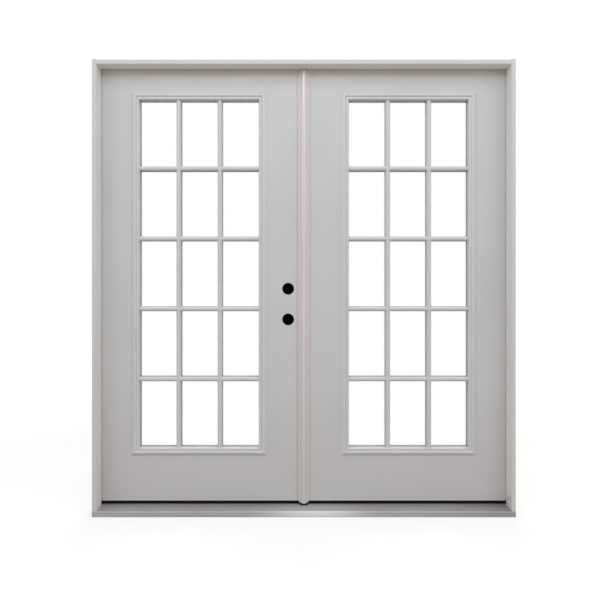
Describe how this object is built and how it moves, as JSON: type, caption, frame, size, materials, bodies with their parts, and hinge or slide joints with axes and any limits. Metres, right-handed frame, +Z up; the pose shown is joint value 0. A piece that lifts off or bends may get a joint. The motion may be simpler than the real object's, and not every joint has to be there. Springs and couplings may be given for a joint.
{
  "type": "french doors",
  "caption": "Double inswing glazed door unit: white steel-skinned leaves with divided lites, rabbeted frame, aluminium sill, astragal with flush bolts, hinges and lock bores.",
  "frame": {"origin": "middle of the sill's underside, midway through the frame's depth", "axes": "+Z up, -Y the outdoor face, +Y indoors, +X to the right seen from outdoors"},
  "size_m": [1.88, 0.1305, 2.032],
  "materials": {
    "primed_wood": "factory-primed white",
    "primed_steel": "factory-primed white, satin",
    "white_moulding": "white moulded plastic, satin",
    "clear_glass": "clear float glass",
    "spacer_metal": "mill finish",
    "bare_wood": "bare softwood",
    "foam": "rigid foam",
    "sill_aluminium": "satin anodised",
    "sill_composite": "moulded composite",
    "dark_composite": "dark moulded composite",
    "seal_rubber": "dark soft seal",
    "black_plastic": "black",
    "hinge_steel": "satin plated",
    "screw_steel": "zinc plated",
    "bolt_steel": "satin plated"
  },
  "bodies": {
    "frame": {"left_jamb": "primed_wood", "right_jamb": "primed_wood", "head_jamb": "primed_wood", "sill_base": "sill_composite", "sill_tread": "sill_aluminium", "sill_riser": "dark_composite", "left_weatherstrip": "seal_rubber", "right_weatherstrip": "seal_rubber", "head_weatherstrip": "seal_rubber", "corner_pads": "seal_rubber", "frame_screws": "screw_steel", "jamb_hinges": "hinge_steel", "jamb_hinge_screws": "screw_steel", "head_strike": "bolt_steel", "sill_bolt_socket": "bolt_steel", "active_hinge_pins": "hinge_steel", "passive_hinge_pins": "hinge_steel"},
    "passive_leaf": {"passive_bottom_rail": "bare_wood", "passive_foam_core": "foam", "passive_glass_spacer": "spacer_metal", "passive_hinge_screws": "screw_steel", "passive_hinge_stile": "bare_wood", "passive_inner_glass": "clear_glass", "passive_inner_lite_frame": "white_moulding", "passive_inner_skin": "primed_steel", "passive_leaf_hinges": "hinge_steel", "passive_lite_plugs": "white_moulding", "passive_lite_screws": "screw_steel", "passive_meeting_stile": "bare_wood", "passive_outer_glass": "clear_glass", "passive_outer_lite_frame": "white_moulding", "passive_outer_skin": "primed_steel", "passive_sweep": "seal_rubber", "passive_top_rail": "bare_wood", "astragal_stem": "primed_wood", "astragal_nose": "primed_wood", "astragal_seals": "seal_rubber", "astragal_screws": "screw_steel", "strike_plates": "bolt_steel"},
    "active_leaf": {"active_bore_caps": "black_plastic", "active_bottom_rail": "bare_wood", "active_foam_core": "foam", "active_glass_spacer": "spacer_metal", "active_hinge_screws": "screw_steel", "active_hinge_stile": "bare_wood", "active_inner_glass": "clear_glass", "active_inner_lite_frame": "white_moulding", "active_inner_skin": "primed_steel", "active_leaf_hinges": "hinge_steel", "active_lite_plugs": "white_moulding", "active_lite_screws": "screw_steel", "active_lock_block": "bare_wood", "active_lock_stile": "bare_wood", "active_outer_glass": "clear_glass", "active_outer_lite_frame": "white_moulding", "active_outer_skin": "primed_steel", "active_sweep": "seal_rubber", "active_top_rail": "bare_wood"},
    "top_bolt": {"top_bolt": "bolt_steel"},
    "bottom_bolt": {"bottom_bolt": "bolt_steel"}
  },
  "joints": [
    {"name": "active_swing", "type": "hinge", "parent": "frame", "child": "active_leaf", "pos_m": [-0.9295, 0.066, 0], "axis": [0, 0, 1], "range_deg": [0, 170]},
    {"name": "passive_swing", "type": "hinge", "parent": "frame", "child": "passive_leaf", "pos_m": [0.9295, 0.066, 0], "axis": [0, 0, -1], "range_deg": [0, 170]},
    {"name": "top_bolt_slide", "type": "slide", "parent": "passive_leaf", "child": "top_bolt", "axis": [0, 0, 1], "range_m": [0, 0.009]},
    {"name": "bottom_bolt_slide", "type": "slide", "parent": "passive_leaf", "child": "bottom_bolt", "axis": [0, 0, -1], "range_m": [0, 0.024]}
  ]
}
